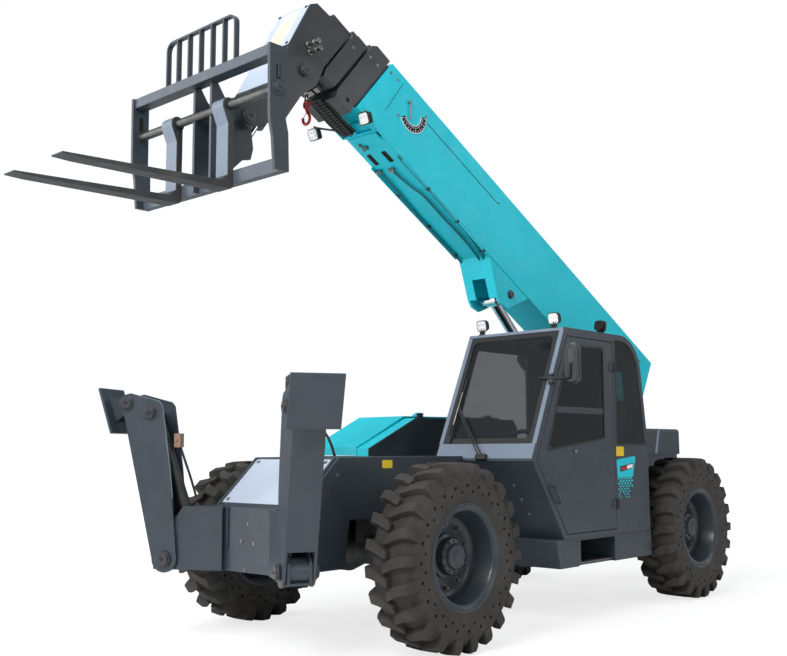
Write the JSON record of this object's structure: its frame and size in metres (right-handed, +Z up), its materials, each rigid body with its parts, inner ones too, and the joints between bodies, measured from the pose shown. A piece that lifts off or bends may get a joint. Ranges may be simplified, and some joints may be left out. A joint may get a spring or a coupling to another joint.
{
  "type": "telehandler",
  "caption": "Telescopic handler with a raised multi-section boom, fork carriage, left-hand cab, solid rubber tyres and folding front outriggers.",
  "frame": {"origin": "centre of the overall box in plan, on the ground under the wheels", "axes": "+X forwards, the way the forks point; +Y to the machine's left, the cab side; +Z up"},
  "size_m": [7.1316, 2.5895, 4.7387],
  "materials": {
    "axle_iron": "painted cast iron",
    "boom_steel": "dark grey paint on the sliding sections",
    "cab_frame": "dark grey satin paint",
    "cylinder_dark": "black satin paint",
    "engine_iron": "painted cast iron",
    "fork_steel": "forged steel, dark paint worn at the tips",
    "glass": "lightly tinted glass",
    "lamp_plastic": "black plastic housing",
    "painted_body": "teal gloss paint",
    "painted_dark": "dark grey satin paint",
    "rim_paint": "dark grey satin paint",
    "rod_chrome": "hard chrome",
    "seat_fabric": "black woven seat cover",
    "trim_plastic": "textured black plastic",
    "tyre_rubber": "dusty black rubber"
  },
  "bodies": {
    "chassis": {"frame": "painted_dark", "boom_uprights": "painted_dark", "boom_pin": "painted_dark", "front_beam": "painted_dark", "axle_front": "axle_iron", "axle_rear": "axle_iron", "cab_shell": "cab_frame", "cab_glass": "glass", "cab_seat": "seat_fabric", "cab_console": "trim_plastic", "side_boxes": "painted_dark", "hydraulic_tank": "painted_dark", "engine_housing": "painted_dark", "engine_cowl": "painted_dark", "engine_block": "engine_iron", "mirrors": "trim_plastic", "work_lamps": "lamp_plastic"},
    "cab_door": {"cab_door": "painted_dark", "cab_door_glass": "glass"},
    "engine_hood": {"engine_hood": "painted_body"},
    "boom_base": {"boom_base": "painted_body"},
    "boom_second": {"boom_second": "boom_steel"},
    "boom_third": {"boom_third": "boom_steel"},
    "boom_head": {"boom_head": "boom_steel"},
    "carriage": {"carriage": "painted_dark"},
    "fork_left": {"fork_left": "fork_steel"},
    "fork_right": {"fork_right": "fork_steel"},
    "lift_barrel": {"lift_barrel": "cylinder_dark"},
    "lift_rod": {"lift_rod": "rod_chrome"},
    "tilt_barrel": {"tilt_barrel": "cylinder_dark"},
    "tilt_rod": {"tilt_rod": "rod_chrome"},
    "steering_rod_front": {"steering_rod_front": "rod_chrome"},
    "knuckle_front_left": {"knuckle_front_left": "axle_iron"},
    "wheel_front_left": {"rim_front_left": "rim_paint", "tyre_front_left": "tyre_rubber"},
    "knuckle_front_right": {"knuckle_front_right": "axle_iron"},
    "wheel_front_right": {"rim_front_right": "rim_paint", "tyre_front_right": "tyre_rubber"},
    "steering_rod_rear": {"steering_rod_rear": "rod_chrome"},
    "knuckle_rear_left": {"knuckle_rear_left": "axle_iron"},
    "wheel_rear_left": {"rim_rear_left": "rim_paint", "tyre_rear_left": "tyre_rubber"},
    "knuckle_rear_right": {"knuckle_rear_right": "axle_iron"},
    "wheel_rear_right": {"rim_rear_right": "rim_paint", "tyre_rear_right": "tyre_rubber"},
    "leg_left": {"leg_left": "painted_dark"},
    "leg_foot_left": {"leg_foot_left": "painted_dark"},
    "leg_barrel_left": {"leg_barrel_left": "cylinder_dark"},
    "leg_rod_left": {"leg_rod_left": "rod_chrome"},
    "leg_right": {"leg_right": "painted_dark"},
    "leg_foot_right": {"leg_foot_right": "painted_dark"},
    "leg_barrel_right": {"leg_barrel_right": "cylinder_dark"},
    "leg_rod_right": {"leg_rod_right": "rod_chrome"}
  },
  "joints": [
    {"name": "boom_lift", "type": "hinge", "parent": "chassis", "child": "boom_base", "pos_m": [-3.13718, -0.159, 1.85], "axis": [0, -1, 0], "range_deg": [-32, 40]},
    {"name": "boom_extend", "type": "slide", "parent": "boom_base", "child": "boom_second", "axis": [0.8729, 0, 0.4879], "range_m": [0, 3.2]},
    {"name": "third_extend", "type": "slide", "parent": "boom_second", "child": "boom_third", "axis": [0.8729, 0, 0.4879], "range_m": [0, 3.2]},
    {"name": "head_extend", "type": "slide", "parent": "boom_third", "child": "boom_head", "axis": [0.8729, 0, 0.4879], "range_m": [0, 3.2]},
    {"name": "carriage_tilt", "type": "hinge", "parent": "boom_head", "child": "carriage", "pos_m": [2.10282, -0.159, 3.68], "axis": [0, 1, 0], "range_deg": [-40, 70]},
    {"name": "fork_left_slide", "type": "slide", "parent": "carriage", "child": "fork_left", "axis": [0, 1, 0], "range_m": [-0.04, 0.44]},
    {"name": "fork_right_slide", "type": "slide", "parent": "carriage", "child": "fork_right", "axis": [0, -1, 0], "range_m": [-0.15, 0.3]},
    {"name": "lift_barrel_swing", "type": "hinge", "parent": "chassis", "child": "lift_barrel", "pos_m": [-3.00218, -0.159, 0.806], "axis": [0, -1, 0], "range_deg": [-25.46, 31.7]},
    {"name": "lift_rod_slide", "type": "slide", "parent": "lift_barrel", "child": "lift_rod", "axis": [0.7313, 0, 0.682], "range_m": [-0.4568, 0.5685]},
    {"name": "tilt_barrel_swing", "type": "hinge", "parent": "boom_head", "child": "tilt_barrel", "pos_m": [1.57682, -0.159, 4.159], "axis": [0, 1, 0], "range_deg": [-6.3, 10.8]},
    {"name": "tilt_rod_slide", "type": "slide", "parent": "tilt_barrel", "child": "tilt_rod", "axis": [0.567, 0, -0.8237], "range_m": [-0.2177, 0.1287]},
    {"name": "leg_left_swing", "type": "hinge", "parent": "chassis", "child": "leg_left", "pos_m": [2.13182, 0.59, 0.595], "axis": [-0.8829, 0.4695, 0], "range_deg": [0, 103]},
    {"name": "leg_barrel_left_swing", "type": "hinge", "parent": "chassis", "child": "leg_barrel_left", "pos_m": [2.0614, 0.45756, 0.845], "axis": [-0.8829, 0.4695, 0], "range_deg": [0, 101.85]},
    {"name": "leg_rod_left_slide", "type": "slide", "parent": "leg_barrel_left", "child": "leg_rod_left", "axis": [0.1603, 0.3016, 0.9399], "range_m": [0, 0.4814]},
    {"name": "leg_foot_left_swing", "type": "hinge", "parent": "leg_left", "child": "leg_foot_left", "pos_m": [2.28252, 0.87343, 1.695], "axis": [0.8829, -0.4695, 0], "range_deg": [0, 31]},
    {"name": "leg_right_swing", "type": "hinge", "parent": "chassis", "child": "leg_right", "pos_m": [2.13182, -0.748, 0.595], "axis": [0.8829, 0.4695, 0], "range_deg": [0, 103]},
    {"name": "leg_barrel_right_swing", "type": "hinge", "parent": "chassis", "child": "leg_barrel_right", "pos_m": [2.0614, -0.61556, 0.845], "axis": [0.8829, 0.4695, 0], "range_deg": [0, 101.85]},
    {"name": "leg_rod_right_slide", "type": "slide", "parent": "leg_barrel_right", "child": "leg_rod_right", "axis": [0.1603, -0.3016, 0.9399], "range_m": [0, 0.4814]},
    {"name": "leg_foot_right_swing", "type": "hinge", "parent": "leg_right", "child": "leg_foot_right", "pos_m": [2.28252, -1.03143, 1.695], "axis": [-0.8829, -0.4695, 0], "range_deg": [0, 31]},
    {"name": "steer_front_left", "type": "hinge", "parent": "chassis", "child": "knuckle_front_left", "pos_m": [1.09282, 0.781, 0.63533], "axis": [0, 0, 1], "range_deg": [-30, 30]},
    {"name": "roll_front_left", "type": "hinge", "parent": "knuckle_front_left", "child": "wheel_front_left", "pos_m": [1.09282, 0.951, 0.63533], "axis": [0, 1, 0], "continuous": true},
    {"name": "steer_front_right", "type": "hinge", "parent": "chassis", "child": "knuckle_front_right", "pos_m": [1.09282, -0.939, 0.63533], "axis": [0, 0, 1], "range_deg": [-30, 30]},
    {"name": "roll_front_right", "type": "hinge", "parent": "knuckle_front_right", "child": "wheel_front_right", "pos_m": [1.09282, -1.109, 0.63533], "axis": [0, 1, 0], "continuous": true},
    {"name": "steering_rod_front_slide", "type": "slide", "parent": "chassis", "child": "steering_rod_front", "axis": [0, 1, 0], "range_m": [-0.1093, 0.1093]},
    {"name": "steer_rear_left", "type": "hinge", "parent": "chassis", "child": "knuckle_rear_left", "pos_m": [-2.33718, 0.781, 0.63533], "axis": [0, 0, 1], "range_deg": [-30, 30]},
    {"name": "roll_rear_left", "type": "hinge", "parent": "knuckle_rear_left", "child": "wheel_rear_left", "pos_m": [-2.33718, 0.951, 0.63533], "axis": [0, 1, 0], "continuous": true},
    {"name": "steer_rear_right", "type": "hinge", "parent": "chassis", "child": "knuckle_rear_right", "pos_m": [-2.33718, -0.939, 0.63533], "axis": [0, 0, 1], "range_deg": [-30, 30]},
    {"name": "roll_rear_right", "type": "hinge", "parent": "knuckle_rear_right", "child": "wheel_rear_right", "pos_m": [-2.33718, -1.109, 0.63533], "axis": [0, 1, 0], "continuous": true},
    {"name": "steering_rod_rear_slide", "type": "slide", "parent": "chassis", "child": "steering_rod_rear", "axis": [0, 1, 0], "range_m": [-0.1093, 0.1093]},
    {"name": "cab_door_swing", "type": "hinge", "parent": "chassis", "child": "cab_door", "pos_m": [-1.00218, 1.053, 1.4], "axis": [0, 0, 1], "range_deg": [0, 100]},
    {"name": "engine_hood_swing", "type": "hinge", "parent": "chassis", "child": "engine_hood", "pos_m": [-0.64018, -0.538, 1.666], "axis": [-1, 0, 0], "range_deg": [0, 65]}
  ],
  "couplings": [
    {"joint": "third_extend", "follows": "boom_extend", "ratio": 1},
    {"joint": "head_extend", "follows": "boom_extend", "ratio": 1},
    {"joint": "lift_barrel_swing", "follows": "boom_lift", "ratio": 0.78},
    {"joint": "lift_rod_slide", "follows": "boom_lift", "m_per_rad": 0.8},
    {"joint": "tilt_barrel_swing", "follows": "carriage_tilt", "ratio": 0.15},
    {"joint": "tilt_rod_slide", "follows": "carriage_tilt", "m_per_rad": -0.17},
    {"joint": "leg_barrel_left_swing", "follows": "leg_left_swing", "ratio": 0.984},
    {"joint": "leg_rod_left_slide", "follows": "leg_left_swing", "m_per_rad": 0.265},
    {"joint": "leg_barrel_right_swing", "follows": "leg_right_swing", "ratio": 0.984},
    {"joint": "leg_rod_right_slide", "follows": "leg_right_swing", "m_per_rad": 0.265},
    {"joint": "steer_front_right", "follows": "steer_front_left", "ratio": 1},
    {"joint": "steering_rod_front_slide", "follows": "steer_front_left", "m_per_rad": -0.205},
    {"joint": "steer_rear_right", "follows": "steer_rear_left", "ratio": 1},
    {"joint": "steering_rod_rear_slide", "follows": "steer_rear_left", "m_per_rad": 0.205}
  ]
}
